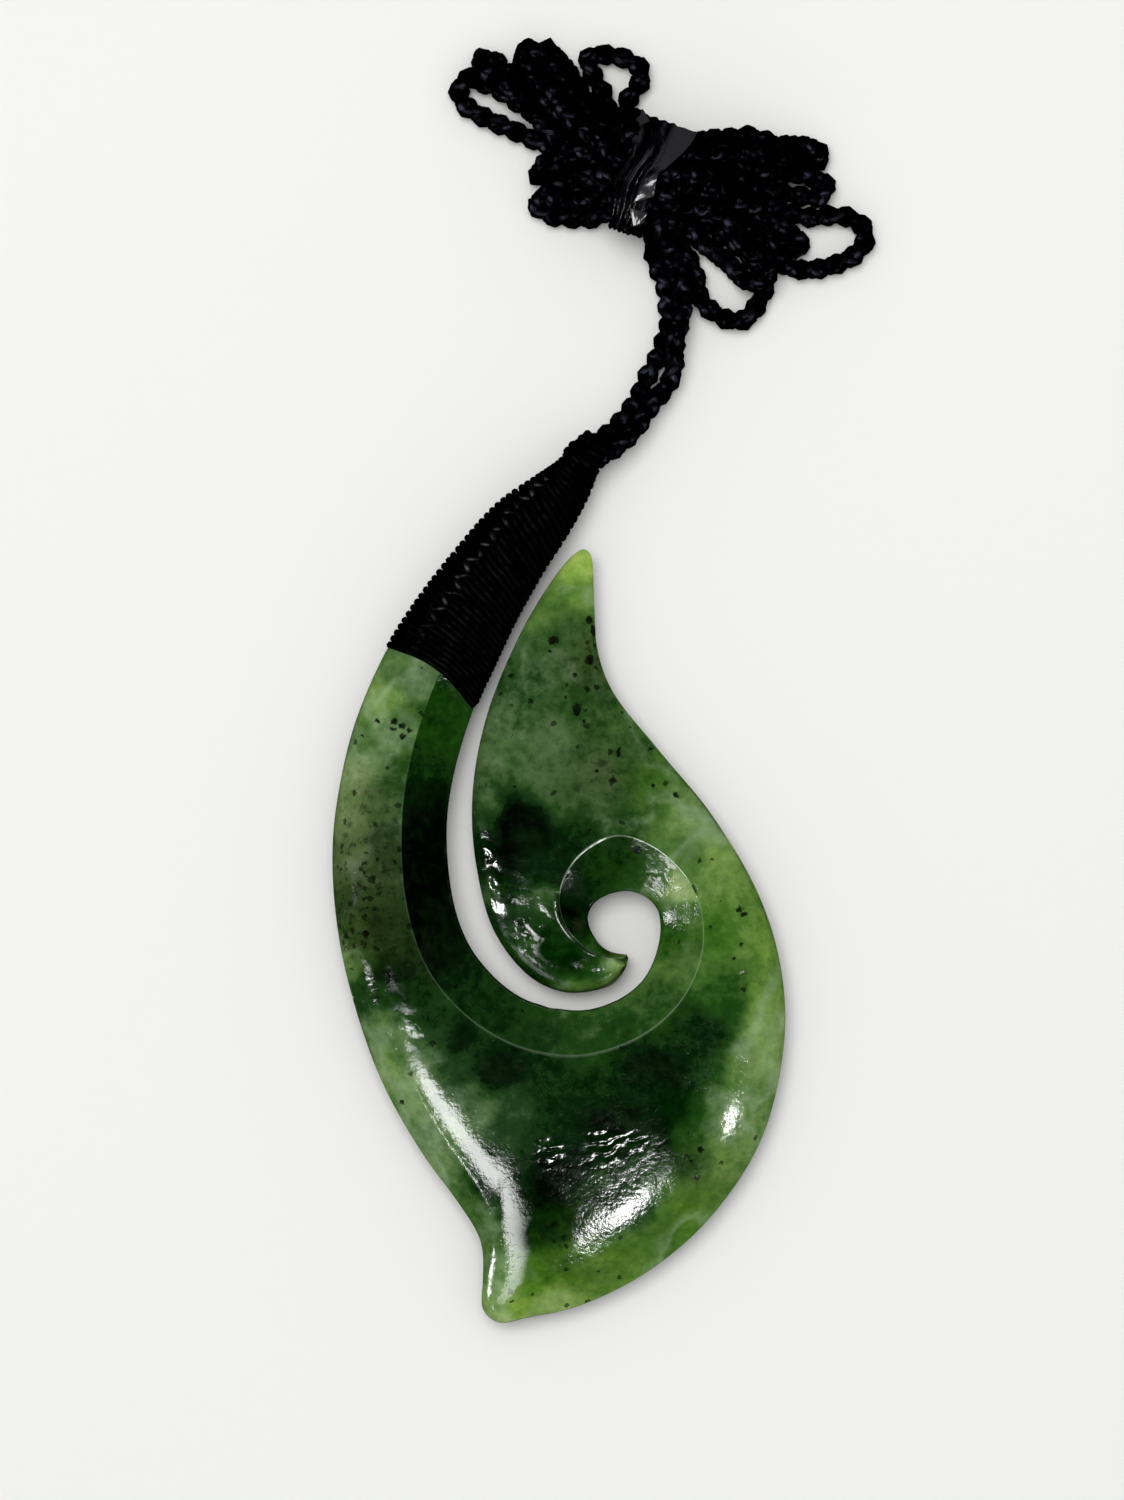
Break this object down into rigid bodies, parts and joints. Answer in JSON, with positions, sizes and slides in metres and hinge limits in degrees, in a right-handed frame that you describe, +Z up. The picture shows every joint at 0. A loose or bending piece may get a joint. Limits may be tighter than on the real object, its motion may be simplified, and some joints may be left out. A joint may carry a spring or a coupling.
{
  "type": "hei matau pendant on a neck cord",
  "caption": "Carved greenstone fish-hook pendant with a koru curl and a thread-bound head, on a braided black neck cord stored as a tied hank.",
  "frame": {"origin": "middle of the hook and its binding, on the surface that they lie on", "axes": "+Z up out of the hook's carved face, +Y from the hook's lower tip to its bound head"},
  "size_m": [0.0517, 0.1221, 0.0095],
  "materials": {
    "greenstone": "hand polished, with a waxy gloss",
    "waxed_thread": "waxed, tightly wound",
    "braided_cord": "soft round braid",
    "black_film": "glossy, pleated film"
  },
  "bodies": {
    "root": {"jade_hook": "greenstone", "lashing": "waxed_thread", "cord_left": "braided_cord", "cord_right": "braided_cord", "cord_hank": "braided_cord", "hank_tie": "black_film"}
  },
  "joints": []
}
